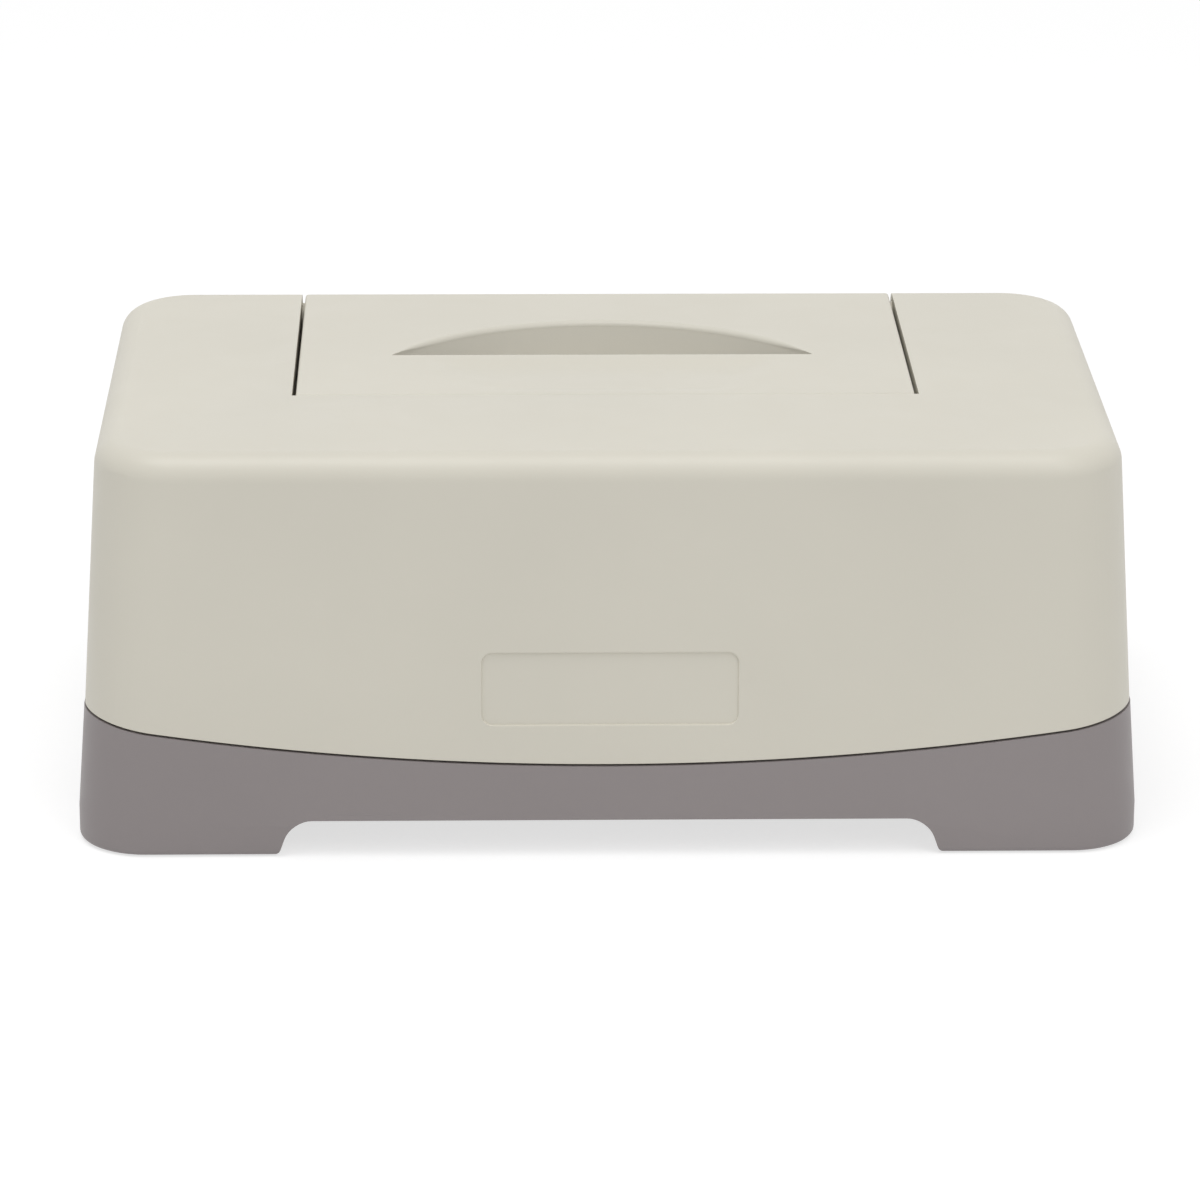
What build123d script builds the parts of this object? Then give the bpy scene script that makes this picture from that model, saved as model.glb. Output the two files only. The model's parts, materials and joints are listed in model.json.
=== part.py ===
from build123d import *
import math
import os

os.makedirs("parts", exist_ok=True)

# A moulded box for baby wipes, in millimetres. The origin is on the ground under the middle
# of the box, +X is to the right, -Y is the front and +Z is up.

# Overall size
LENGTH = 260.0            # over the base, left to right
DEPTH = 160.0             # over the base, front to back
HEIGHT = 100.0            # from the ground to the top

# Outer form
BASE_CORNER = 24.0        # corner radius of the base in plan
TOP_ROUND = 6.4           # rounding along the top edge
SHELL_DRAFT = 3.3         # degrees that the shell leans in
BASE_DRAFT = 3.9          # degrees that the base leans in above its foot band
FOOT_BAND = 8.0           # upright band at the bottom of the base
BASE_PROUD = 0.2          # how far the base stands out past the shell at the seam

# Seam between shell and base, lower in the middle than at the sides
SEAM_SIDE = 32.0
SEAM_MIDDLE = 23.2
SEAM_GAP = 0.4

# Shell
SHELL_WALL = 2.2
BADGE_LENGTH = 62.0
BADGE_HEIGHT = 18.0
BADGE_MIDDLE = 42.2       # height of the badge recess's middle
BADGE_CORNER = 2.5
BADGE_DEEP = 0.6

# Spigot that guides the shell onto the base
SPIGOT_GAP = 0.4
SPIGOT_WALL = 1.5
SPIGOT_RISE = 5.0

# Base and feet
STAND = 0.5               # how far the rubber pads hold the base off the ground
ARCH_TOP = 9.2            # underside of the arches between the feet
ARCH_LENGTH = 161.6       # front arch at the ground
ARCH_DEPTH = 84.0         # side arch at the ground
ARCH_LEAN = 3.3           # how much narrower an arch is at its top, each side
ARCH_CORNER = 5.0
FOOT_EDGE = 2.0           # rounding under the feet
FLOOR = 2.6
FOOT_WALL = 2.6
PAD_LEDGE = 1.4
PAD_SEAT = 2.2
PAD_GAP = 0.15
PAD_CORNER = 3.0

# Lid well in the shell
LID_LENGTH = 152.8        # left to right
LID_FRONT = -22.3         # front edge of the lid
LID_SLOT = 1.4            # slot on each side of the lid
LID_FRONT_GAP = 0.4
WELL_DEEP = 19.5          # from the top of the box to the deck
WELL_WALL = 2.2
DECK = 2.2
MOUTH_LENGTH = 120.0      # opening that the wipes come out of
MOUTH_DEPTH = 55.0
MOUTH_MIDDLE = 17.5       # its middle, along Y
MOUTH_CORNER = 20.0
LEDGE_DEEP = 3.0
LEDGE_THICK = 2.5
SEAT_GAP = 0.3

# Hinge inside the rounded rear edge
PIN_RADIUS = 1.5
PIN_LENGTH = 22.0
PIN_PRESS = 0.02
PIN_RUN = 0.06
BARREL_GAP = 0.35
BARREL_WALL = 2.2
KNUCKLE_LENGTH = 12.0
BOSS_RADIUS = 4.6
BOSS_LENGTH = 12.5
COLLAR_RADIUS = 4.2

# Lid
LID_THICK = 2.4
POCKET_CHORD = 107.0
POCKET_RISE = 29.2
LIP = 12.4                # straight edge of the pocket, along Y
POCKET_DEEP = 14.0
POCKET_ROUND = 3.0
SKIRT_WALL = 2.2
HOOK_DEEP = 9.0           # room for the fingertips under the lip
LIP_PAD_LENGTH = 92.0
LIP_PAD_FRONT = -14.0
LIP_PAD_THICK = 2.0
DISH_LENGTH = 76.0
DISH_FRONT = -25.7
DISH_CORNER = 20.0
DISH_STEP = 0.4
DISH_DROP = 2.0           # depth of the dish at the lip

# Liner and gasket under the lid
LINER_WALL = 2.0
LINER_GAP = 0.2
SEAL_LENGTH = 138.0
SEAL_DEPTH = 69.0
SEAL_CORNER = 24.0
GASKET_WIDE = 4.0
GASKET_THICK = 1.4

# Press plate
PLATE_LENGTH = 188.0
PLATE_DEPTH = 96.0
PLATE_CORNER = 14.0
PLATE_THICK = 8.0
PLATE_WALL = 2.0
PLATE_SLOT_LENGTH = 84.0
PLATE_SLOT_WIDE = 14.0
SLOT_RIM = 1.2
BALLAST_LENGTH = 40.0
BALLAST_DEPTH = 74.0
BALLAST_GAP = 1.0

BIG = 3 * LENGTH


# Levels and places that follow from the sizes
def lean(degrees, rise):
    return rise * math.tan(math.radians(degrees))


def shell_inset(z):
    return lean(BASE_DRAFT, SEAM_SIDE - FOOT_BAND) + BASE_PROUD + lean(SHELL_DRAFT, z - SEAM_SIDE)


AXIS_Z = HEIGHT - TOP_ROUND
AXIS_Y = DEPTH / 2 - shell_inset(AXIS_Z) - TOP_ROUND / math.cos(math.radians(SHELL_DRAFT))
FLOOR_TOP = ARCH_TOP + FLOOR
DECK_TOP = HEIGHT - WELL_DEEP
LID_UNDER = HEIGHT - LID_THICK
POCKET_FLOOR = HEIGHT - POCKET_DEEP
WELL_HALF = LID_LENGTH / 2 + LID_SLOT
WELL_FRONT = LID_FRONT - LID_FRONT_GAP
POCKET_RADIUS = (POCKET_CHORD ** 2 / 4 + POCKET_RISE ** 2) / (2 * POCKET_RISE)
POCKET_CENTRE = LIP + POCKET_RISE - POCKET_RADIUS


# Shapes that several pieces share
def outline(inset):
    return RectangleRounded(LENGTH - 2 * inset, DEPTH - 2 * inset, BASE_CORNER - inset)


def leaning_block(inset, bottom, top, draft):
    return extrude(Plane.XY.offset(bottom) * outline(inset), top - bottom, taper=draft)


def shell_block(inset, top, rounding):
    block = leaning_block(shell_inset(FOOT_BAND) + inset, FOOT_BAND, top, SHELL_DRAFT)
    if rounding:
        block = fillet(block.edges().group_by(Axis.Z)[-1], rounding)
    return block


def box_between(x0, x1, y0, y1, z0, z1):
    middle = ((x0 + x1) / 2, (y0 + y1) / 2, (z0 + z1) / 2)
    return Pos(*middle) * Box(x1 - x0, y1 - y0, z1 - z0)


def below_seam(lift):
    # All that lies under the curved seam, moved up by lift
    half = LENGTH / 2
    side = SEAM_SIDE + lift
    rise = SEAM_SIDE - SEAM_MIDDLE
    radius = (half ** 2 + rise ** 2) / (2 * rise)
    disc = Pos(0, SEAM_MIDDLE + lift + radius) * Circle(radius)
    block = Pos(0, (side - HEIGHT) / 2) * Rectangle(LENGTH + 2 * HEIGHT, side + HEIGHT)
    return extrude(Plane.XZ * (block - disc), DEPTH, both=True)


def rod(radius, x0, x1):
    # A round bar along the hinge axis
    disc = Plane(origin=(x0, AXIS_Y, AXIS_Z), x_dir=(0, 1, 0), z_dir=(1, 0, 0)) * Circle(radius)
    return extrude(disc, x1 - x0)


def slab(sketch, bottom, top):
    return extrude(Plane.XY.offset(bottom) * sketch, top - bottom)


def pocket_plan(grow):
    # The half-moon, grown outwards along its arc
    disc = Pos(0, POCKET_CENTRE) * Circle(POCKET_RADIUS + grow)
    return disc & (Pos(0, LIP + DEPTH / 2) * Rectangle(BIG, DEPTH))


def dish_cutter():
    run = LIP - DISH_FRONT
    radius = run ** 2 / (2 * (DISH_DROP - DISH_STEP))
    back = LIP + DISH_CORNER
    plan = RectangleRounded(DISH_LENGTH, back - DISH_FRONT, DISH_CORNER)
    plan = Pos(0, (DISH_FRONT + back) / 2) * plan
    plan &= Pos(0, (DISH_FRONT + LIP) / 2) * Rectangle(BIG, run)
    start = (-LENGTH / 2, DISH_FRONT, HEIGHT - DISH_STEP - radius)
    side = Plane(origin=start, x_dir=(0, 1, 0), z_dir=(1, 0, 0))
    hill = extrude(side * Circle(radius), LENGTH)
    return slab(plan, HEIGHT - 2 * DISH_DROP, HEIGHT + DISH_DROP) - hill


def mirrored(piece):
    return mirror(piece, about=Plane.YZ)


def make_outer_shell():
    outer = shell_block(0, HEIGHT, TOP_ROUND)
    inner = shell_block(SHELL_WALL, HEIGHT - SHELL_WALL, TOP_ROUND - SHELL_WALL)
    wall = WELL_HALF + WELL_WALL
    well = box_between(-wall, wall, WELL_FRONT - WELL_WALL, DEPTH, DECK_TOP - DECK, HEIGHT)
    hollow = box_between(-WELL_HALF, WELL_HALF, WELL_FRONT, AXIS_Y, DECK_TOP, HEIGHT + 1)
    hollow += box_between(-WELL_HALF, WELL_HALF, AXIS_Y, DEPTH, DECK_TOP, AXIS_Z) & inner
    hollow += rod(TOP_ROUND + BARREL_GAP, -WELL_HALF, WELL_HALF)
    mouth = Pos(0, MOUTH_MIDDLE) * RectangleRounded(MOUTH_LENGTH, MOUTH_DEPTH, MOUTH_CORNER)
    shell = outer - inner + (well & outer) - hollow
    shell -= slab(mouth, DECK_TOP - 2 * DECK, DECK_TOP + DECK)
    ledge_top = LID_UNDER - SEAT_GAP
    shell += box_between(-WELL_HALF, WELL_HALF, WELL_FRONT, WELL_FRONT + LEDGE_DEEP,
                         ledge_top - LEDGE_THICK, ledge_top)
    face = WELL_HALF - LID_SLOT + SEAT_GAP
    boss = rod(COLLAR_RADIUS, face, WELL_HALF) + rod(BOSS_RADIUS, WELL_HALF, WELL_HALF + BOSS_LENGTH)
    bore = rod(PIN_RADIUS + PIN_PRESS, face, WELL_HALF + BOSS_LENGTH - SHELL_WALL)
    shell = shell + boss + mirrored(boss) - bore - mirrored(bore)
    shell -= below_seam(SEAM_GAP)
    shell -= dish_cutter()
    return shell - badge_cutter()


def badge_cutter():
    # A shallow recess that follows the leaning front face
    plan = Pos(0, BADGE_MIDDLE) * RectangleRounded(BADGE_LENGTH, BADGE_HEIGHT, BADGE_CORNER)
    through = extrude(Plane.XZ.offset(DEPTH / 4) * plan, DEPTH / 2)
    return through - shell_block(BADGE_DEEP, HEIGHT, 0)


def make_base_tray():
    band = slab(outline(0), STAND, FOOT_BAND)
    outer = band + leaning_block(0, FOOT_BAND, SEAM_SIDE + SPIGOT_RISE, BASE_DRAFT)
    outer &= below_seam(0)
    guide = shell_block(SHELL_WALL + SPIGOT_GAP, SEAM_SIDE + 2 * SPIGOT_RISE, 0) & below_seam(SPIGOT_RISE)
    room = shell_block(SHELL_WALL + SPIGOT_GAP + SPIGOT_WALL, HEIGHT, 0)
    room -= box_between(-LENGTH, LENGTH, -DEPTH, DEPTH, 0, FLOOR_TOP)
    tray = outer - arch_cutter(ARCH_LENGTH, Plane.XZ) - arch_cutter(ARCH_DEPTH, Plane.YZ)
    tray = fillet(tray.edges().group_by(Axis.Z)[0], FOOT_EDGE)
    tray = tray + guide - room
    for side in (-1, 1):
        for end in (-1, 1):
            tray -= slab(foot_plan(side, end, FOOT_WALL), 0, STAND + PAD_SEAT)
            tray -= slab(foot_plan(side, end, FOOT_WALL + PAD_LEDGE), 0, ARCH_TOP)
    return tray


def arch_cutter(span, plane):
    half = span / 2
    top = half - ARCH_LEAN
    line = Polyline((-half, 0), (-top, ARCH_TOP), (top, ARCH_TOP), (half, 0), close=True)
    face = make_face(line)
    face = fillet(face.vertices().group_by(Axis.Y)[-1], ARCH_CORNER)
    return extrude(plane * face, LENGTH, both=True)


def foot_plan(side, end, inset):
    # One foot seen from below, drawn in by inset all round
    x = side * (ARCH_LENGTH / 2 + inset + LENGTH / 2)
    y = end * (ARCH_DEPTH / 2 + inset + DEPTH / 2)
    plan = outline(inset) & (Pos(x, y) * Rectangle(LENGTH, DEPTH))
    return Sketch() + plan


def make_foot_pad(side, end):
    pad = slab(foot_plan(side, end, FOOT_WALL + PAD_GAP), 0, STAND + PAD_SEAT)
    return fillet(pad.edges().group_by(Axis.Z)[0], STAND)


def make_hinge_pin(side):
    end = WELL_HALF + BOSS_LENGTH - SHELL_WALL
    pin = chamfer(rod(PIN_RADIUS, end - PIN_LENGTH, end).edges(), PIN_RADIUS / 5)
    return pin if side > 0 else mirrored(pin)


def make_lid_panel():
    half = LID_LENGTH / 2
    lid = box_between(-half, half, LID_FRONT, AXIS_Y, LID_UNDER, HEIGHT)
    barrel = rod(TOP_ROUND, -half, half) - rod(TOP_ROUND - BARREL_WALL, -half, half)
    barrel -= box_between(-half, half, AXIS_Y - DEPTH, AXIS_Y, 0, AXIS_Z)
    barrel -= box_between(-half, half, AXIS_Y - DEPTH, AXIS_Y, AXIS_Z - 1, LID_UNDER)
    lid += barrel
    knuckle = rod(TOP_ROUND, half - KNUCKLE_LENGTH, half) - rod(PIN_RADIUS + PIN_RUN, 0, half)
    lid = lid + knuckle + mirrored(knuckle)
    pad_half = LIP_PAD_LENGTH / 2
    lid += box_between(-pad_half, pad_half, LIP_PAD_FRONT, LIP, LID_UNDER - LIP_PAD_THICK, LID_UNDER)
    lid += slab(pocket_plan(SKIRT_WALL), POCKET_FLOOR + LINER_GAP, LID_UNDER)
    lid -= slab(pocket_plan(0), 0, 2 * HEIGHT)
    return lid - rim_cutter() - dish_cutter()


def rim_cutter():
    # Rounds the pocket's curved rim, and leaves the straight lip sharp
    reach = POCKET_RADIUS + POCKET_ROUND
    corner = Pos(reach, HEIGHT) * Rectangle(2 * POCKET_ROUND, 2 * POCKET_ROUND)
    corner -= Pos(reach, HEIGHT - POCKET_ROUND) * Circle(POCKET_ROUND)
    corner &= Pos(reach - POCKET_ROUND / 2, HEIGHT) * Rectangle(POCKET_ROUND, 2 * POCKET_ROUND)
    upright = Plane(origin=(0, POCKET_CENTRE, 0), x_dir=(1, 0, 0), z_dir=(0, -1, 0))
    ring = revolve(upright * corner, Axis((0, POCKET_CENTRE, 0), (0, 0, 1)))
    return ring & box_between(-LENGTH, LENGTH, LIP, DEPTH, 0, 2 * HEIGHT)


def make_lid_liner():
    bottom = DECK_TOP + SEAT_GAP + GASKET_THICK
    web_top = LID_UNDER - LIP_PAD_THICK
    outer = Pos(0, MOUTH_MIDDLE) * RectangleRounded(SEAL_LENGTH, SEAL_DEPTH, SEAL_CORNER)
    inner = Pos(0, MOUTH_MIDDLE) * RectangleRounded(
        SEAL_LENGTH - 2 * LINER_WALL, SEAL_DEPTH - 2 * LINER_WALL, SEAL_CORNER - LINER_WALL)
    ring = slab(outer - inner, bottom, LID_UNDER)
    web = slab(outer, web_top - LINER_WALL, web_top)
    tub = slab(tub_plan(LINER_WALL), POCKET_FLOOR - LINER_WALL, web_top)
    room = slab(tub_plan(0), POCKET_FLOOR, HEIGHT)
    return ring + web + tub - room


def tub_plan(grow):
    # The finger cup: the half-moon with its skirt, and the room under the lip
    half = POCKET_CHORD / 2 + SKIRT_WALL + LINER_GAP + grow
    back = LIP
    front = LIP - HOOK_DEEP - grow
    hook = Pos(0, (front + back) / 2) * Rectangle(2 * half, back - front)
    return pocket_plan(SKIRT_WALL + LINER_GAP + grow) + hook


def make_lid_gasket():
    bottom = DECK_TOP + SEAT_GAP
    spare = (GASKET_WIDE - LINER_WALL) / 2
    outer = RectangleRounded(SEAL_LENGTH + 2 * spare, SEAL_DEPTH + 2 * spare, SEAL_CORNER + spare)
    width = spare + LINER_WALL
    inner = RectangleRounded(SEAL_LENGTH - 2 * width, SEAL_DEPTH - 2 * width, SEAL_CORNER - width)
    return slab(Pos(0, MOUTH_MIDDLE) * (outer - inner), bottom, bottom + GASKET_THICK)


PLATE_BOTTOM = FLOOR_TOP + SEAT_GAP
PLATE_SPLIT = PLATE_BOTTOM + PLATE_THICK - PLATE_WALL


def plate_plan(inset):
    return RectangleRounded(PLATE_LENGTH - 2 * inset, PLATE_DEPTH - 2 * inset, PLATE_CORNER - inset)


def slot_plan(grow):
    return SlotOverall(PLATE_SLOT_LENGTH + 2 * grow, PLATE_SLOT_WIDE + 2 * grow)


def make_plate_bottom():
    block = slab(plate_plan(0), PLATE_BOTTOM, PLATE_SPLIT)
    room = slab(plate_plan(PLATE_WALL), PLATE_BOTTOM + PLATE_WALL, PLATE_SPLIT + 1)
    post = slab(slot_plan(PLATE_WALL), PLATE_BOTTOM, PLATE_SPLIT)
    return block - room + post - slab(slot_plan(0), 0, HEIGHT)


def make_plate_top():
    cover = slab(plate_plan(0), PLATE_SPLIT, PLATE_SPLIT + PLATE_WALL)
    rim = slab(slot_plan(PLATE_WALL), PLATE_SPLIT, PLATE_SPLIT + PLATE_WALL + SLOT_RIM)
    return cover + rim - slab(slot_plan(0), 0, HEIGHT)


def make_ballast(side):
    inner = PLATE_LENGTH / 2 - PLATE_WALL - BALLAST_GAP
    x0, x1 = sorted((side * inner, side * (inner - BALLAST_LENGTH)))
    half = BALLAST_DEPTH / 2
    return box_between(x0, x1, -half, half, PLATE_BOTTOM + PLATE_WALL, PLATE_SPLIT)


pieces = {
    "base_tray": make_base_tray(),
    "foot_pad_front_left": make_foot_pad(-1, -1),
    "foot_pad_front_right": make_foot_pad(1, -1),
    "foot_pad_rear_left": make_foot_pad(-1, 1),
    "foot_pad_rear_right": make_foot_pad(1, 1),
    "outer_shell": make_outer_shell(),
    "hinge_pin_left": make_hinge_pin(-1),
    "hinge_pin_right": make_hinge_pin(1),
    "lid_panel": make_lid_panel(),
    "lid_liner": make_lid_liner(),
    "lid_gasket": make_lid_gasket(),
    "plate_top": make_plate_top(),
    "plate_bottom": make_plate_bottom(),
    "ballast_left": make_ballast(-1),
    "ballast_right": make_ballast(1),
}

for name, piece in pieces.items():
    export_step(piece, f"parts/{name}.step")
    print(name, len(piece.solids()), round(piece.volume / 1000, 1), "cm3")
print("hinge axis y, z:", round(AXIS_Y, 3), round(AXIS_Z, 3))
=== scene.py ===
import json
import math

import bmesh
import bpy
from mathutils import Matrix, Vector


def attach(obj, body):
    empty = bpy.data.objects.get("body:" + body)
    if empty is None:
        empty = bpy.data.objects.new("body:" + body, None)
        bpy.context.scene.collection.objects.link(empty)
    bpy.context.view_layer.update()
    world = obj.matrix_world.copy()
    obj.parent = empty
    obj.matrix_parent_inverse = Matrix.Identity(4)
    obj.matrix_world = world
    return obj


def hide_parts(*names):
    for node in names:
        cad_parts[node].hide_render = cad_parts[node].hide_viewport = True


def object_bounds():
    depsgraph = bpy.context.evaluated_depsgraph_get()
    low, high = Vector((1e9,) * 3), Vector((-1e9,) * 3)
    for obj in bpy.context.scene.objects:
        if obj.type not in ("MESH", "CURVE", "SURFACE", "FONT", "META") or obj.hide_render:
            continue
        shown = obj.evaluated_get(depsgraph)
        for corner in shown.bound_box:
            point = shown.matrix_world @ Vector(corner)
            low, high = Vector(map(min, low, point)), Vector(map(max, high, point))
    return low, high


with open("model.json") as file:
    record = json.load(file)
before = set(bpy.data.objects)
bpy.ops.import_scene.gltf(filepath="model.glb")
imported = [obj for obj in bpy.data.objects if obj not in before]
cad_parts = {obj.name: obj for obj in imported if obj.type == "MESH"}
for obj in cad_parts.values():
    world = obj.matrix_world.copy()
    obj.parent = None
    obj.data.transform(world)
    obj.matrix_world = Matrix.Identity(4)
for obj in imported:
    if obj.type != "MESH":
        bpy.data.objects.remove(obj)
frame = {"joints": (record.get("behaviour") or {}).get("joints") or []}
cad_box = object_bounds()


# The room: a pale sweep of floor that reads as white behind the box, and the camera where the
# photograph was taken, a little to the left of the middle and looking down at the top.
camera_height = math.radians(19.0)
camera_turn = math.radians(1.41)
camera_roll = math.radians(-0.25)
camera_far = 1.389
aim = Vector((-0.00065, 0.0, 0.0382))
floor_wide, floor_drop = 12.0, 0.00005
paper_glow, paper_shade, paper_drift = 0.68, 0.45, 0.995


def seen_directly(tree):
    # 1 for what the camera or a reflection sees, 0 for the light that falls on the box
    rays = tree.nodes.new("ShaderNodeLightPath")
    either = tree.nodes.new("ShaderNodeMath")
    either.operation = "MAXIMUM"
    tree.links.new(rays.outputs["Is Camera Ray"], either.inputs[0])
    tree.links.new(rays.outputs["Is Glossy Ray"], either.inputs[1])
    return either.outputs[0]


def plain_white(name, colour):
    # Matt paper that lights the box as it is, and that the camera sees as white with a faint
    # shadow under the box
    mat = bpy.data.materials.new(name)
    mat.use_nodes = True
    tree = mat.node_tree
    lit = tree.nodes["Principled BSDF"]
    seen = tree.nodes.new("ShaderNodeBsdfPrincipled")
    seen.inputs["Emission Color"].default_value = (1.0, 1.0, 1.0, 1)
    seen.inputs["Emission Strength"].default_value = paper_glow
    noise = tree.nodes.new("ShaderNodeTexNoise")
    noise.inputs["Scale"].default_value = 3.0
    for bsdf, share in ((lit, 1.0), (seen, paper_shade)):
        bsdf.inputs["Roughness"].default_value = 0.9
        bsdf.inputs["Specular IOR Level"].default_value = 0.0
        ramp = tree.nodes.new("ShaderNodeValToRGB")
        ramp.color_ramp.elements[0].color = (*[c * paper_drift * share for c in colour], 1)
        ramp.color_ramp.elements[1].color = (*[c * share for c in colour], 1)
        tree.links.new(noise.outputs["Fac"], ramp.inputs["Fac"])
        tree.links.new(ramp.outputs["Color"], bsdf.inputs["Base Color"])
    blend = tree.nodes.new("ShaderNodeMixShader")
    tree.links.new(seen_directly(tree), blend.inputs["Fac"])
    tree.links.new(lit.outputs["BSDF"], blend.inputs[1])
    tree.links.new(seen.outputs["BSDF"], blend.inputs[2])
    tree.links.new(blend.outputs[0], tree.nodes["Material Output"].inputs["Surface"])
    return mat


bpy.ops.object.select_all(action="DESELECT")
bpy.ops.mesh.primitive_plane_add(size=floor_wide, location=(0, 0, -floor_drop))
floor = bpy.context.object
floor.name = "floor"
floor.data.materials.append(plain_white("floor_paper", (0.93, 0.93, 0.93)))

world = bpy.data.worlds.new("studio")
bpy.context.scene.world = world
world.use_nodes = True
sky = world.node_tree
glow = sky.nodes["Background"]
glow.inputs["Color"].default_value = (1.0, 1.0, 1.0, 1)
glow.inputs["Strength"].default_value = 0.50
backdrop = sky.nodes.new("ShaderNodeBackground")
backdrop.inputs["Color"].default_value = (1.0, 1.0, 1.0, 1)
backdrop.inputs["Strength"].default_value = 1.0
mix = sky.nodes.new("ShaderNodeMixShader")
sky.links.new(seen_directly(sky), mix.inputs["Fac"])
sky.links.new(glow.outputs[0], mix.inputs[1])
sky.links.new(backdrop.outputs[0], mix.inputs[2])
sky.links.new(mix.outputs[0], sky.nodes["World Output"].inputs["Surface"])


def soft_light(name, place, size, power, target=(0, 0, 0.04)):
    light = bpy.data.lights.new(name, "AREA")
    light.shape = "DISK"
    light.size = size
    light.energy = power
    lamp = bpy.data.objects.new(name, light)
    bpy.context.scene.collection.objects.link(lamp)
    lamp.location = place
    lamp.rotation_euler = (Vector(target) - Vector(place)).to_track_quat("-Z", "Y").to_euler()


soft_light("key", (-0.25, -0.35, 2.0), 1.3, 15.7)
soft_light("fill", (0.75, -1.1, 1.45), 1.0, 4.6)

lens = bpy.data.cameras.new("camera")
lens.sensor_width = 36.0
lens.lens = 162.9
lens.clip_start = 0.05
lens.clip_end = 60.0
camera = bpy.data.objects.new("camera", lens)
bpy.context.scene.collection.objects.link(camera)
look = Vector((
    math.sin(camera_turn) * math.cos(camera_height),
    math.cos(camera_turn) * math.cos(camera_height),
    -math.sin(camera_height),
))
camera.location = aim - look * camera_far
camera.rotation_mode = "QUATERNION"
roll = Matrix.Rotation(camera_roll, 3, look)
camera.rotation_quaternion = (roll @ look.to_track_quat("-Z", "Y").to_matrix()).to_quaternion()
bpy.context.scene.camera = camera
bpy.context.scene.view_settings.view_transform = "Standard"


# The grey base: one injection moulding in satin plastic, with four hollow feet and low arches
# between them. Its wall steps in at the top to guide the shell, and the floor carries the wipes.
half_long, half_deep = round(cad_box[1].x, 4), round(cad_box[1].y, 4)
base_corner, upright_corner, corner_growth = 0.024, 0.017, 0.0169
stand, foot_band, base_rise, foot_edge = 0.0003, 0.008, 0.029, 0.0013
base_draft, shell_draft, first_lift = 3.9, 3.3, 0.0001
arch_long, arch_deep, arch_top = 0.1616, 0.084, 0.0092
arch_lean, arch_corner = 0.0033, 0.005
floor_top, foot_wall, pad_ledge, pad_top = 0.0118, 0.0026, 0.0014, 0.0027
seam_end, seam_sag, seam_cuts = 0.0338, 0.0111, 119
shell_wall, guide_gap, guide_wall = 0.0022, 0.0004, 0.0015
guide_top, guide_stands, room_top = 0.042, 0.005, 0.06
beyond, below = 0.2, 0.1


def lean(degrees, rise):
    return rise * math.tan(math.radians(degrees))


def leaning_wall(rise):
    # The lifts of a wall inside the shell: a short upright start, then one long lift that leans in
    return [(first_lift, 0), (rise, lean(shell_draft, rise))]


def pick_none():
    bpy.ops.object.select_all(action="DESELECT")


def pick(piece):
    pick_none()
    piece.select_set(True)
    bpy.context.view_layer.objects.active = piece


def close_up():
    # Points the faces of the mesh in edit mode outwards and goes back to object mode
    bpy.ops.mesh.select_all(action="SELECT")
    bpy.ops.mesh.normals_make_consistent(inside=False)
    bpy.ops.object.mode_set(mode="OBJECT")


def moulded_block(
        name, inset, bottom, lifts,
        length=2 * half_long, depth=2 * half_deep, corner=base_corner, segments=24):
    # A rounded rectangle drawn up by steps of (lift, draw in), so its corners stay true arcs
    pick_none()
    bpy.ops.mesh.primitive_plane_add(size=1.0, location=(0, 0, bottom))
    block = bpy.context.object
    block.name = name
    block.scale = (length - 2 * inset, depth - 2 * inset, 1)
    bpy.ops.object.transform_apply(location=True, rotation=False, scale=True)
    bpy.ops.object.mode_set(mode="EDIT")
    bpy.ops.mesh.select_all(action="SELECT")
    bpy.ops.mesh.bevel(offset=corner - inset, segments=segments, affect="VERTICES")
    bpy.ops.mesh.select_mode(type="FACE")
    bpy.ops.mesh.select_all(action="SELECT")
    bpy.ops.mesh.extrude_region_move(TRANSFORM_OT_translate={"value": (0, 0, lifts[0][0])})
    for lift, draw in lifts[1:]:
        bpy.ops.mesh.inset(thickness=draw, depth=lift)
    close_up()
    return block


def rounded_over(radius, steps=10):
    # The steps that carry a wall over a quarter round into the top face
    turns = [math.radians(90 * i / steps) for i in range(steps + 1)]
    return [
        (radius * (math.sin(b) - math.sin(a)), radius * (math.cos(a) - math.cos(b)))
        for a, b in zip(turns, turns[1:])
    ]


def cut(piece, cutter, how="DIFFERENCE"):
    # Takes the cutter away from the piece, or joins it on with UNION, and uses the cutter up
    pick(piece)
    boolean = piece.modifiers.new("cut", "BOOLEAN")
    boolean.operation = how
    boolean.solver = "EXACT"
    boolean.object = cutter
    bpy.ops.object.modifier_apply(modifier=boolean.name)
    bpy.data.objects.remove(cutter)


def brick(name, low, high):
    pick_none()
    middle = [(a + b) / 2 for a, b in zip(low, high)]
    bpy.ops.mesh.primitive_cube_add(size=1.0, location=middle)
    block = bpy.context.object
    block.name = name
    block.scale = [b - a for a, b in zip(low, high)]
    bpy.ops.object.transform_apply(location=True, rotation=False, scale=True)
    return block


def slab(name, low, high):
    # Everything between two heights
    return brick(name, (-beyond, -beyond, low), (beyond, beyond, high))


def bevel_where(piece, width, segments, wanted):
    # Rounds the edges whose two ends satisfy wanted, as if picked by hand
    pick(piece)
    bpy.ops.object.mode_set(mode="EDIT")
    bpy.ops.mesh.select_mode(type="EDGE")
    bpy.ops.mesh.select_all(action="DESELECT")
    mesh = bmesh.from_edit_mesh(piece.data)
    for edge in mesh.edges:
        if len(edge.link_faces) == 2 and edge.calc_face_angle(0) > math.radians(25):
            edge.select_set(wanted(edge.verts[0].co, edge.verts[1].co))
    bmesh.update_edit_mesh(piece.data)
    bpy.ops.mesh.bevel(offset=width, segments=segments, affect="EDGES", clamp_overlap=True)
    bpy.ops.object.mode_set(mode="OBJECT")


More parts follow.
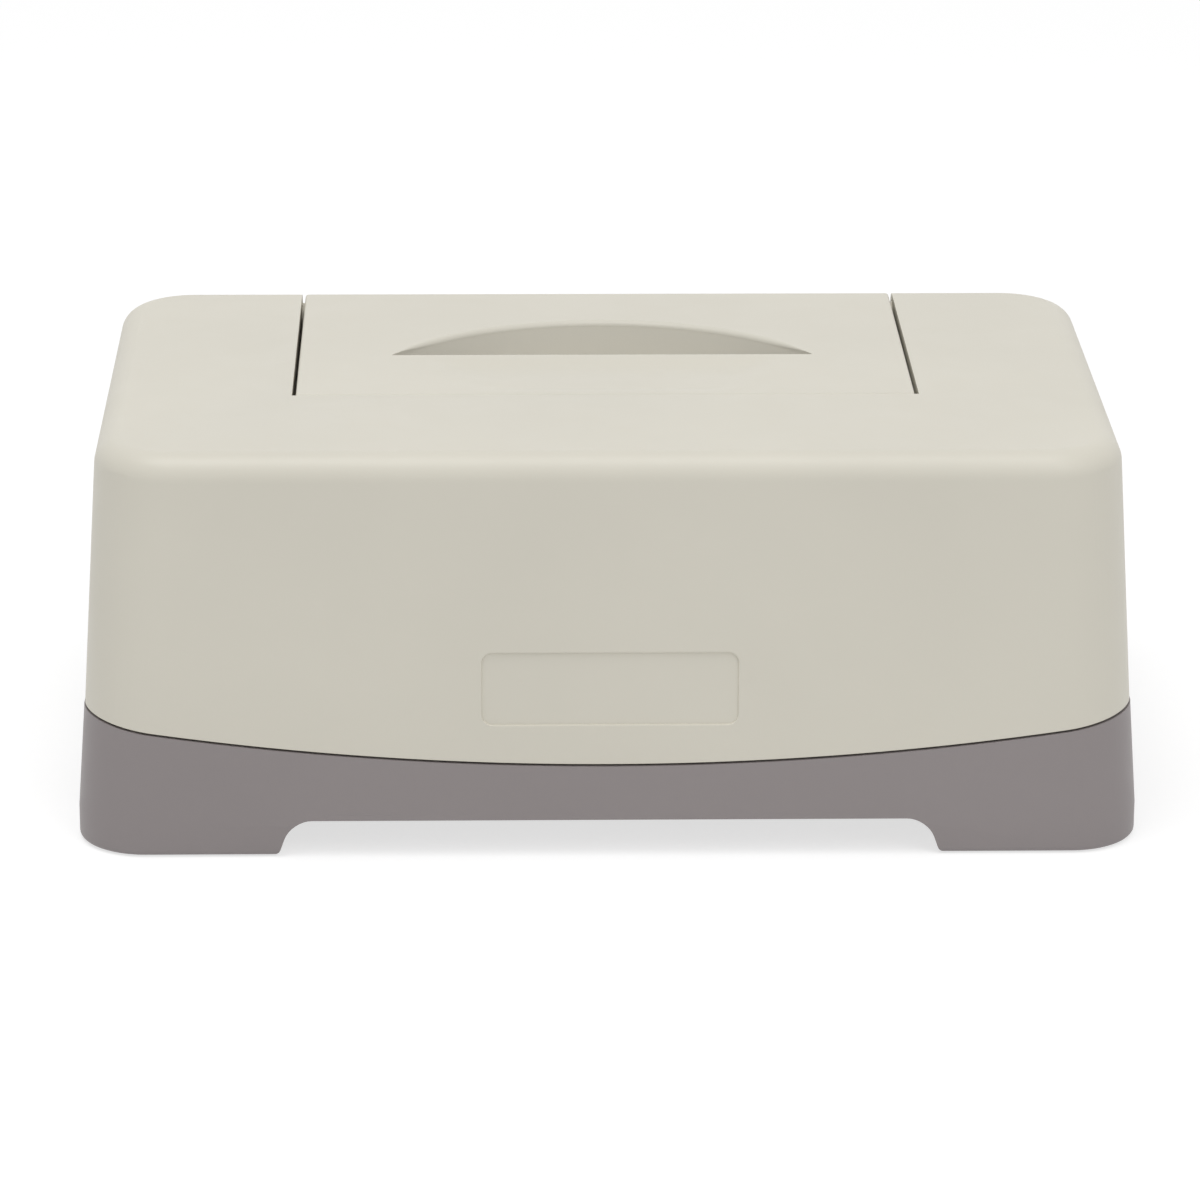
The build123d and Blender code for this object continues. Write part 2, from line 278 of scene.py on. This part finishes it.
def tidy_edges(piece, width=0.0004, segments=2, flatten=True):
    # Breaks every edge that is still sharp, as a mould does, and shades the piece smooth
    sharp = math.radians(35)
    pick(piece)
    bpy.ops.object.mode_set(mode="EDIT")
    bpy.ops.mesh.select_all(action="SELECT")
    bpy.ops.mesh.remove_doubles(threshold=0.000005)
    if flatten:
        bpy.ops.mesh.dissolve_limited(angle_limit=math.radians(0.2))
    bpy.ops.object.mode_set(mode="OBJECT")
    soft = piece.modifiers.new("soft_edges", "BEVEL")
    soft.width = width
    soft.segments = segments
    soft.limit_method = "ANGLE"
    soft.angle_limit = sharp
    soft.harden_normals = False
    bpy.ops.object.modifier_apply(modifier=soft.name)
    bpy.ops.object.shade_smooth_by_angle(angle=sharp)
    even = piece.modifiers.new("even_shading", "WEIGHTED_NORMAL")
    even.keep_sharp = True
    bpy.ops.object.modifier_apply(modifier=even.name)


def seam_cutter(name, lift, above):
    # A block whose one face is the long curve of the seam, low in the middle
    radius = (half_long ** 2 + seam_sag ** 2) / (2 * seam_sag)
    far, curve_reach = 0.3, 0.16
    block = slab(name, 0, far) if above else slab(name, -far, 0)
    bpy.ops.object.mode_set(mode="EDIT")
    bpy.ops.mesh.select_all(action="DESELECT")
    mesh = bmesh.from_edit_mesh(block.data)
    along = [e for e in mesh.edges if abs(e.verts[0].co.x - e.verts[1].co.x) > 0.1]
    bmesh.ops.subdivide_edges(mesh, edges=along, cuts=seam_cuts, use_grid_fill=True)
    for vert in mesh.verts:
        if abs(vert.co.z) < 0.01:
            reach = min(abs(vert.co.x), curve_reach)
            vert.co.z = seam_end - seam_sag + lift + radius - math.sqrt(radius ** 2 - reach ** 2)
    bmesh.update_edit_mesh(block.data)
    bpy.ops.object.mode_set(mode="OBJECT")
    return block


def arch_block(name, span, across):
    # The gap between two feet: wider at the ground, with rounded upper corners
    half, under = span / 2, 0.01
    block = brick(name, (-half, -beyond, -under), (half, beyond, arch_top))
    for vert in block.data.vertices:
        if vert.co.z > 0:
            vert.co.x -= math.copysign(arch_lean, vert.co.x)
        else:
            vert.co.x += math.copysign(arch_lean * under / arch_top, vert.co.x)
    bevel_where(block, arch_corner, 8, lambda a, b: a.z > 0 and b.z > 0 and abs(a.x - b.x) < 1e-5)
    if across:
        block.data.transform(Matrix.Rotation(math.radians(90), 4, "Z"))
    return block


def firm_corners(block, inset_at, top):
    # The upright corners keep nearly one radius from the ground to the top edge
    for vert in block.data.vertices:
        x, y, z = vert.co
        if z < top + 0.00001:
            inset = inset_at(z)
            wide = upright_corner + corner_growth * z
            grow = wide / (base_corner - inset)
            along_x = (abs(x) - (half_long - base_corner)) * grow
            along_y = (abs(y) - (half_deep - base_corner)) * grow
            vert.co.x = math.copysign(half_long - inset - wide + along_x, x)
            vert.co.y = math.copysign(half_deep - inset - wide + along_y, y)


def foot_core(name, side, end, inset, bottom, top):
    # What fills one foot: the corner of a rounded block, inset from the foot's faces all round
    core = moulded_block(name, inset, bottom, [(top - bottom, 0)])
    x, y = side * (arch_long / 2 + inset), end * (arch_deep / 2 + inset)
    low = (min(x, side * beyond), min(y, end * beyond), -below)
    high = (max(x, side * beyond), max(y, end * beyond), below)
    cut(core, brick("corner", low, high), "INTERSECT")
    return core


# The shell's face lies a little inside the base's face at the height where the two meet
meet_height, proud = 0.032, 0.0002
meet_rise = meet_height - foot_band
shell_in = lean(base_draft, meet_rise) + proud - lean(shell_draft, meet_rise)
guide_in = shell_in + shell_wall + guide_gap

base_lifts = [(foot_band - stand, 0), (base_rise, lean(base_draft, base_rise))]
base = moulded_block("base", 0, stand, base_lifts)
firm_corners(base, lambda z: lean(base_draft, max(0, z - foot_band)), foot_band + base_rise)
cut(base, seam_cutter("above_seam", 0, True))
guide = moulded_block("guide", guide_in, foot_band, leaning_wall(guide_top - foot_band))
cut(guide, seam_cutter("above_guide", guide_stands, True))
cut(guide, slab("below_floor", -below, (arch_top + floor_top) / 2))
cut(base, arch_block("front_arch", arch_long, False))
cut(base, arch_block("side_arch", arch_deep, True))
bevel_where(base, foot_edge, 5, lambda a, b: max(a.z, b.z) < 2 * stand)
cut(base, guide, "UNION")
room = moulded_block("room", guide_in + guide_wall, foot_band, leaning_wall(room_top - foot_band))
cut(room, slab("under_floor", -below, floor_top))
cut(base, room)
for side in (-1, 1):
    for end in (-1, 1):
        for wall, top in ((foot_wall, pad_top), (foot_wall + pad_ledge, arch_top)):
            cut(base, foot_core("core", side, end, wall, -0.001, top))
tidy_edges(base)


def satin_plastic(name, colour, spread=0.02, grain=900.0, roughness=0.45, bump=0.06, scuffs=0.03):
    # Satin moulded plastic: a fine spark-eroded grain, slow drifts of colour and faint rub marks
    mat = bpy.data.materials.new(name)
    mat.use_nodes = True
    tree = mat.node_tree
    bsdf = tree.nodes["Principled BSDF"]
    place = tree.nodes.new("ShaderNodeTexCoord")
    drift = tree.nodes.new("ShaderNodeTexNoise")
    drift.inputs["Scale"].default_value = 14.0
    drift.inputs["Detail"].default_value = 3.0
    fine = tree.nodes.new("ShaderNodeTexNoise")
    fine.inputs["Scale"].default_value = grain
    fine.inputs["Detail"].default_value = 2.0
    rub = tree.nodes.new("ShaderNodeTexNoise")
    rub.inputs["Scale"].default_value = 60.0
    rub.inputs["Detail"].default_value = 6.0
    rub.inputs["Distortion"].default_value = 1.2
    for noise in (drift, fine, rub):
        tree.links.new(place.outputs["Object"], noise.inputs["Vector"])
    tone = tree.nodes.new("ShaderNodeValToRGB")
    tone.color_ramp.elements[0].position = 0.3
    tone.color_ramp.elements[1].position = 0.7
    tone.color_ramp.elements[0].color = (*[c * (1 - spread) for c in colour], 1)
    tone.color_ramp.elements[1].color = (*[min(1, c * (1 + spread)) for c in colour], 1)
    tree.links.new(drift.outputs["Fac"], tone.inputs["Fac"])
    tree.links.new(tone.outputs["Color"], bsdf.inputs["Base Color"])
    gloss = tree.nodes.new("ShaderNodeMapRange")
    gloss.inputs["From Min"].default_value = 0.35
    gloss.inputs["From Max"].default_value = 0.7
    gloss.inputs["To Min"].default_value = roughness + scuffs
    gloss.inputs["To Max"].default_value = roughness - scuffs
    tree.links.new(rub.outputs["Fac"], gloss.inputs["Value"])
    tree.links.new(gloss.outputs["Result"], bsdf.inputs["Roughness"])
    relief = tree.nodes.new("ShaderNodeBump")
    relief.inputs["Strength"].default_value = bump
    relief.inputs["Distance"].default_value = 0.0002
    tree.links.new(fine.outputs["Fac"], relief.inputs["Height"])
    tree.links.new(relief.outputs["Normal"], bsdf.inputs["Normal"])
    return mat


def srgb(*values):
    # Colours are written as seen, 0 to 255, and turned to the linear values that shaders take
    return tuple(((v / 255 + 0.055) / 1.055) ** 2.4 if v > 10 else v / (255 * 12.92) for v in values)


grey = satin_plastic("base_grey", srgb(144, 137, 137))
base.data.materials.append(grey)
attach(base, "base")
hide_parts("base_tray")


# The upper shell: a beige moulding with softly rounded edges. A well for the lid is sunk in its
# top, with the mouth for the wipes in the well's deck, and a bare recess sits low on its front.
hinge = next(j for j in frame["joints"] if j["name"] == "lid_hinge")
axis_y, axis_z = hinge["pos_m"][1], hinge["pos_m"][2]
box_top = cad_box[1].z
top_round = box_top - axis_z
well_half, well_front, well_wall, well_brim = 0.0778, -0.0227, 0.0022, 0.0995
deck_top, behind, above = 0.0805, 0.09, 0.12
barrel_gap, slot_edge, seam_gap = 0.00035, 0.0008, 0.0006
mouth_middle, mouth_long, mouth_deep, mouth_corner = 0.0175, 0.120, 0.055, 0.020
mouth_low, mouth_tall = 0.07, 0.012
ledge_top, ledge_thick, ledge_deep, bite = 0.0973, 0.0025, 0.003, 0.0005
collar_radius, collar_face, collar_end = 0.0042, 0.0770, 0.0790
boss_radius, boss_start, boss_end = 0.0046, 0.0779, 0.0903
pin_radius, pin_seat, bore_start, bore_end = 0.0015, 0.00002, 0.0760, 0.0881
badge_long, badge_tall, badge_middle = 0.062, 0.018, 0.0422
badge_corner, badge_deep, badge_edge, badge_reach = 0.0025, 0.0006, 0.0005, 0.05


def shell_form(name, draw_in, top, corner_round):
    # The shell's outer form, drawn in all round and closed by a rounded top
    lifts = leaning_wall(top - corner_round - foot_band - first_lift) + rounded_over(corner_round)
    return moulded_block(name, shell_in + draw_in, foot_band, lifts)


def bar(name, radius, x0, x1, vertices=96):
    # A round bar along the hinge line
    pick_none()
    bpy.ops.mesh.primitive_cylinder_add(
        vertices=vertices, radius=radius, depth=x1 - x0,
        location=((x0 + x1) / 2, axis_y, axis_z), rotation=(0, math.radians(90), 0))
    piece = bpy.context.object
    piece.name = name
    bpy.ops.object.transform_apply(location=True, rotation=True, scale=True)
    return piece


def side_bar(name, side, radius, start, end, vertices=48):
    # A round bar along the hinge line on one side of the box, given outwards from the middle
    x0, x1 = sorted((side * start, side * end))
    return bar(name, radius, x0, x1, vertices)


def shifted_block(name, middle_y, bottom, height, length, depth, corner):
    block = moulded_block(name, 0, bottom, [(height, 0)], length, depth, corner)
    block.data.transform(Matrix.Translation((0, middle_y, 0)))
    return block


shell = shell_form("shell", 0, box_top, top_round)
firm_corners(shell, lambda z: shell_in + lean(shell_draft, z - foot_band), axis_z)
well = brick("well", (-well_half - well_wall, well_front - well_wall, deck_top - well_wall),
             (well_half + well_wall, behind, well_brim))
cut(well, shell_form("trim", 0.0004, box_top - 0.0003, top_round), "INTERSECT")
cut(shell, shell_form("hollow", shell_wall, box_top - shell_wall, top_round - shell_wall))
cut(shell, well, "UNION")
cut(shell, brick("well_room", (-well_half, well_front, deck_top), (well_half, axis_y, above)))
rear_room = brick("rear_room", (-well_half, axis_y - 0.0001, deck_top), (well_half, behind, axis_z))
cut(rear_room, shell_form("rear_trim", shell_wall + 0.0001, box_top, top_round), "INTERSECT")
cut(shell, rear_room)
cut(shell, bar("barrel_room", top_round + barrel_gap, -well_half, well_half))
mouth = shifted_block(
    "mouth", mouth_middle, mouth_low, mouth_tall, mouth_long, mouth_deep, mouth_corner)
cut(shell, mouth)
cut(shell, brick("ledge", (-well_half - bite, well_front - bite, ledge_top - ledge_thick),
                 (well_half + bite, well_front + ledge_deep, ledge_top)), "UNION")
for side in (-1, 1):
    cut(shell, side_bar("collar", side, collar_radius, collar_face, collar_end), "UNION")
    cut(shell, side_bar("boss", side, boss_radius, boss_start, boss_end), "UNION")
    cut(shell, side_bar("bore", side, pin_radius + pin_seat, bore_start, bore_end, 32))
cut(shell, seam_cutter("under_seam", seam_gap, False))
badge_turn = Matrix.Translation((0, 0, badge_middle)) @ Matrix.Rotation(math.radians(90), 4, "X")
badge = moulded_block(
    "badge", 0, badge_reach, [(badge_reach, 0)], badge_long, badge_tall, badge_corner, 8)
badge.data.transform(badge_turn)
cut(badge, shell_form("badge_floor", badge_deep, box_top, top_round))
cut(shell, badge)


def on_slot(co, half):
    # True for a point on the rim of a slot beside the lid, on the face that lies half off the middle
    near = abs(abs(co.x) - half) < 2e-5 and co.y > well_front - 1e-5
    turn = math.hypot(co.y - axis_y, co.z - axis_z)
    return near and (co.z > box_top - 2e-5 or (co.y > axis_y and abs(turn - top_round) < 4e-5))


def on_badge(co):
    # True for a point on the outer edge of the bare recess
    wall_y = half_deep - shell_in - lean(shell_draft, co.z - foot_band)
    in_length = abs(co.x) < badge_long / 2 + bite
    in_height = abs(co.z - badge_middle) < badge_tall / 2 + bite
    return in_length and in_height and abs(co.y + wall_y) < 3e-5


bevel_where(shell, slot_edge, 4, lambda a, b: on_slot(a, well_half) and on_slot(b, well_half))
bevel_where(shell, badge_edge, 2, lambda a, b: on_badge(a) and on_badge(b))
tidy_edges(shell, 0.0003)
beige = satin_plastic("shell_beige", srgb(217, 213, 200))
shell.data.materials.append(beige)
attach(shell, "shell")
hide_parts("outer_shell")


# The lid: a second beige moulding that drops into the well. It is one curved sheet that wraps
# round the hinge line at the back, with a half-moon pocket for the fingers and a shallow dish
# before it.
lid_half, lid_front, lid_thick, lid_edge = 0.0769, -0.02255, 0.0024, 0.0007
knuckle_radius, knuckle_long, pin_run, bore_past = 0.0060, 0.012, 0.00006, 0.001
lip, pocket_rise, pocket_half = 0.0124, 0.0306, 0.0535
pocket_radius = (pocket_half ** 2 + pocket_rise ** 2) / (2 * pocket_rise)
pocket_middle = lip + pocket_rise - pocket_radius
pocket_floor, pocket_under, pocket_round, pocket_lean = 0.086, 0.080, 0.0016, 0.0048
skirt_wall, skirt_lift, weld_top = 0.0008, 0.0002, 0.0977
lip_pad_half, lip_pad_front, lip_pad_low = 0.046, -0.014, 0.0956
dish_half, dish_narrowing, dish_drop, dish_side = 0.048, 0.42, 0.0015, 0.011
scoop_long, scoop_deep, scoop_ahead, scoop_tall = 0.098, 0.035, 0.0165, 0.004


def smooth(t):
    t = min(max(t, 0), 1)
    return t * t * (3 - 2 * t)


def dish_depth(x, ahead):
    # A shallow scoop before the lip: it falls away from the lip, rises gently and ends in a soft
    # step, and it narrows forwards
    half = dish_half - dish_narrowing * ahead
    fall = dish_drop * smooth(ahead / 0.009)
    rise = 1 - 0.5 * smooth((ahead - 0.010) / 0.014)
    end = 1 - smooth((ahead - 0.027) / 0.006)
    return fall * rise * end * smooth((half - abs(x)) / dish_side)


lid = brick("lid", (-lid_half, lid_front, box_top - lid_thick), (lid_half, axis_y, box_top))
bpy.ops.object.mode_set(mode="EDIT")
bpy.ops.mesh.select_mode(type="FACE")
bpy.ops.mesh.select_all(action="DESELECT")
skin = bmesh.from_edit_mesh(lid.data)
for face in skin.faces:
    face.select_set(face.normal.y > 0.9)
bmesh.update_edit_mesh(lid.data)
bpy.ops.mesh.spin(steps=24, angle=math.radians(180), center=(0, axis_y, axis_z), axis=(1, 0, 0))
close_up()
for side in (-1, 1):
    start = lid_half - knuckle_long
    cut(lid, side_bar("knuckle", side, knuckle_radius, start, lid_half - 0.00001, 96), "UNION")
    bore_ends = (start - bore_past, lid_half + bore_past)
    cut(lid, side_bar("pin_bore", side, pin_radius + pin_run, *bore_ends, 32))


def widen(vert, factor):
    # Moves a point of the plug in or out from the upright line through the pocket's centre
    vert.co.x *= factor
    vert.co.y = pocket_middle + (vert.co.y - pocket_middle) * factor


def round_block(name, radius, bottom, top, flare=0.0):
    # A round plug cut off straight at the lip. With flare it cuts the pocket: its bottom is drawn
    # in, so that the wall leans, and its top edge opens out in a quarter round, which dies away
    # where the curve runs into the lip.
    flare_steps, fade_over, fade_least, overrun = 12, 0.016, 0.02, 0.004
    pick_none()
    bpy.ops.mesh.primitive_circle_add(
        vertices=360, radius=radius, fill_type="NGON", location=(0, pocket_middle, bottom))
    plug = bpy.context.object
    plug.name = name
    bpy.ops.object.transform_apply(location=True, rotation=False, scale=True)
    bpy.ops.object.mode_set(mode="EDIT")
    bpy.ops.mesh.select_all(action="SELECT")
    rises = [top - flare - bottom]
    if flare:
        rises += [flare / flare_steps] * flare_steps + [overrun]
    for rise in rises:
        bpy.ops.mesh.extrude_region_move(TRANSFORM_OT_translate={"value": (0, 0, rise)})
    close_up()
    for vert in plug.data.vertices if flare else ():
        share = (vert.co.z - (top - flare)) / flare
        if vert.co.z < bottom + 0.0001:
            widen(vert, 1 - pocket_lean / radius)
        if share > 0.01:
            turn = math.radians(90 * min(share, 1))
            fade = flare * max(fade_least, smooth((vert.co.y - lip + 0.0005) / fade_over))
            widen(vert, (radius + fade * (1 - math.cos(turn))) / radius)
            if share < 1.01:
                vert.co.z = top - fade + fade * math.sin(turn)
    cut(plug, brick("before_lip", (-beyond, -beyond, 0), (beyond, lip, beyond)))
    return plug


cut(lid, brick("lip_pad", (-lip_pad_half, lip_pad_front, lip_pad_low),
               (lip_pad_half, lip - 0.00002, weld_top)), "UNION")
skirt_low = pocket_floor + skirt_lift
cut(lid, round_block("skirt", pocket_radius + skirt_wall, skirt_low, weld_top), "UNION")
cut(lid, round_block("pocket", pocket_radius, pocket_under, box_top, pocket_round))
pick_none()
bpy.ops.mesh.primitive_grid_add(
    x_subdivisions=98, y_subdivisions=40, size=1.0,
    location=(0, lip - scoop_ahead, box_top + 0.00001))
scoop = bpy.context.object
scoop.name = "scoop"
scoop.scale = (scoop_long, scoop_deep, 1)
bpy.ops.object.transform_apply(location=True, rotation=False, scale=True)
for vert in scoop.data.vertices:
    vert.co.z -= dish_depth(vert.co.x, max(0, lip - vert.co.y))
bpy.ops.object.mode_set(mode="EDIT")
bpy.ops.mesh.select_all(action="SELECT")
bpy.ops.mesh.extrude_region_move(TRANSFORM_OT_translate={"value": (0, 0, scoop_tall)})
close_up()
cut(lid, scoop)
bevel_where(lid, lid_edge, 4, lambda a, b: on_slot(a, lid_half) and on_slot(b, lid_half))
tidy_edges(lid, 0.00025, flatten=False)
lid.data.materials.append(beige)
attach(lid, "lid")
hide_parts("lid_panel")


# Under each foot a black rubber pad is pressed into the hollow of the foot and grips the table.
# It is cut to the foot's rounded corner, with its edges just broken.
pad_gap = 0.00015
rubber = satin_plastic("pad_rubber", srgb(52, 51, 50), 0.08, 500.0, 0.75, 0.25, 0.06)
for end_name, end in (("front", -1), ("rear", 1)):
    for side_name, side in (("left", -1), ("right", 1)):
        pad_name = f"pad_{end_name}_{side_name}"
        pad = foot_core(pad_name, side, end, foot_wall + pad_gap, 0, pad_top)
        tidy_edges(pad, 0.0004, 3)
        pad.data.materials.append(rubber)
        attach(pad, "base")
        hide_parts(f"foot_pad_{end_name}_{side_name}")


# The lid's inside is closed by a paler liner, moulded in natural plastic and welded to the panel:
# a ring that stands over the mouth, a web across it, and a tub round the finger pocket with room
# for the fingertips to hook under the lip.
seal_long, seal_deep, seal_corner = 0.138, 0.069, 0.024
liner_low, liner_tall, liner_wall = 0.0822, 0.0154, 0.002
web_rooms = ((0.0800, 0.0136), (0.0956, 0.0050))
tub_gap, tub_low, tub_top, past_lid = 0.0010, 0.0840, 0.0955, 0.11
hook_half, hook_front, hook_rear = 0.0559, 0.0034, lip + 0.0001

liner = shifted_block(
    "liner", mouth_middle, liner_low, liner_tall, seal_long, seal_deep, seal_corner)
for room_low, room_tall in web_rooms:
    ring_room = shifted_block(
        "ring_room", mouth_middle, room_low, room_tall,
        seal_long - 2 * liner_wall, seal_deep - 2 * liner_wall, seal_corner - liner_wall)
    cut(liner, ring_room)
cut(liner, round_block("tub", pocket_radius + tub_gap + liner_wall, tub_low, tub_top), "UNION")
cut(liner, brick("hook", (-hook_half - liner_wall, hook_front - liner_wall, tub_low),
                 (hook_half + liner_wall, hook_rear, tub_top)), "UNION")
cut(liner, round_block("tub_room", pocket_radius + tub_gap, pocket_floor, past_lid))
cut(liner, brick("hook_room", (-hook_half, hook_front, pocket_floor),
                 (hook_half, hook_rear, past_lid)))
tidy_edges(liner, 0.0003)
natural = satin_plastic("liner_natural", srgb(232, 229, 221), 0.015, 700.0, 0.38, 0.04, 0.03)
liner.data.materials.append(natural)
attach(liner, "lid")
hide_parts("lid_liner")


# A soft silicone ring is pushed over the liner's rim. It meets the deck round the mouth when the
# lid is shut and keeps the wipes moist.
gasket_low, gasket_tall, gasket_over, gasket_wide = 0.0808, 0.0014, 0.001, 0.004


def seal_block(name, grow, bottom, tall):
    # The outline of the liner's ring, grown all round
    return shifted_block(
        name, mouth_middle, bottom, tall,
        seal_long + 2 * grow, seal_deep + 2 * grow, seal_corner + grow)


gasket = seal_block("gasket", gasket_over, gasket_low, gasket_tall)
cut(gasket, seal_block("gasket_room", gasket_over - gasket_wide, 0.0790, 0.0050))
tidy_edges(gasket, 0.0005, 3)
silicone = satin_plastic("seal_silicone", srgb(214, 213, 208), 0.02, 400.0, 0.5, 0.05, 0.05)
gasket.data.materials.append(silicone)
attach(gasket, "lid")
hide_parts("lid_gasket")


# Two short steel pins are pressed into the shell's bosses, one at each end of the lid, and the
# lid's knuckles turn on them. Their ends are just broken.
pin_start = 0.0661


def bare_metal(name, colour, roughness, grain, spangle):
    # Turned or plated steel: fine grain in the gloss and slow patches in the tone
    mat = bpy.data.materials.new(name)
    mat.use_nodes = True
    tree = mat.node_tree
    bsdf = tree.nodes["Principled BSDF"]
    bsdf.inputs["Metallic"].default_value = 1.0
    place = tree.nodes.new("ShaderNodeTexCoord")
    patches = tree.nodes.new("ShaderNodeTexNoise")
    patches.inputs["Scale"].default_value = grain
    patches.inputs["Detail"].default_value = 5.0
    tree.links.new(place.outputs["Object"], patches.inputs["Vector"])
    tone = tree.nodes.new("ShaderNodeValToRGB")
    tone.color_ramp.elements[0].color = (*[c * (1 - spangle) for c in colour], 1)
    tone.color_ramp.elements[1].color = (*[min(1, c * (1 + spangle)) for c in colour], 1)
    tree.links.new(patches.outputs["Fac"], tone.inputs["Fac"])
    tree.links.new(tone.outputs["Color"], bsdf.inputs["Base Color"])
    gloss = tree.nodes.new("ShaderNodeMapRange")
    gloss.inputs["To Min"].default_value = roughness - 0.06
    gloss.inputs["To Max"].default_value = roughness + 0.06
    tree.links.new(patches.outputs["Fac"], gloss.inputs["Value"])
    tree.links.new(gloss.outputs["Result"], bsdf.inputs["Roughness"])
    return mat


pin_steel = bare_metal("pin_steel", srgb(190, 189, 186), 0.28, 400.0, 0.05)
for side_name, side in (("left", -1), ("right", 1)):
    pin = side_bar(f"pin_{side_name}", side, pin_radius, pin_start, bore_end)
    tidy_edges(pin, 0.0003, 3)
    pin.data.materials.append(pin_steel)
    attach(pin, "shell")
    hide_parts(f"hinge_pin_{side_name}")


# The press plate lies on the wipes. It is a hollow plastic plate in two halves, welded round two
# steel weights, with a rimmed slot that the next wipe is pulled through.
plate_long, plate_deep, plate_corner = 0.188, 0.096, 0.014
plate_low, plate_split, plate_wall = 0.0121, 0.0181, 0.002
slot_long, slot_wide, slot_rim, slot_flat = 0.084, 0.014, 0.0012, 0.0006
tray_tall = plate_split - plate_low
tray_floor = plate_low + plate_wall
rim_bite = 0.001


def plate_block(name, inset, bottom, tall):
    return moulded_block(name, inset, bottom, [(tall, 0)], plate_long, plate_deep, plate_corner)


def plate_slot(grow, bottom, tall):
    # The long slot with its rounded ends, which keep a short flat so that no edge there is too fine
    length, wide = slot_long + 2 * grow, slot_wide + 2 * grow
    return moulded_block("slot", 0, bottom, [(tall, 0)], length, wide, wide / 2 - slot_flat, 12)


tray = plate_block("tray", 0, plate_low, tray_tall)
cut(tray, plate_block("tray_room", plate_wall, tray_floor, 0.01))
cut(tray, plate_slot(plate_wall, plate_low + rim_bite, tray_tall - rim_bite), "UNION")
cover = plate_block("cover", 0, plate_split, plate_wall)
cut(cover, plate_slot(plate_wall, plate_split + bite, plate_wall + slot_rim - bite), "UNION")
plate_beige = satin_plastic("plate_beige", srgb(206, 202, 192), 0.02, 800.0, 0.42, 0.05, 0.03)
for half, node in ((tray, "plate_bottom"), (cover, "plate_top")):
    cut(half, plate_slot(0, 0.0, 0.05))
    tidy_edges(half, 0.0005, 3)
    half.data.materials.append(plate_beige)
    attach(half, "press_plate")
    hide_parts(node)


# The weights are two zinc-plated steel blanks. They lie in the plate's lower half, one beyond
# each end of the slot, and the upper half closes over them.
weight_start, weight_end, weight_half = 0.051, 0.091, 0.037
zinc = bare_metal("ballast_zinc", srgb(176, 178, 180), 0.42, 160.0, 0.14)
for side_name, side in (("left", -1), ("right", 1)):
    x0, x1 = sorted((side * weight_start, side * weight_end))
    weight = brick(
        f"weight_{side_name}", (x0, -weight_half, tray_floor), (x1, weight_half, plate_split))
    tidy_edges(weight, 0.0005, 3)
    weight.data.materials.append(zinc)
    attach(weight, "press_plate")
    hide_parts(f"ballast_{side_name}")
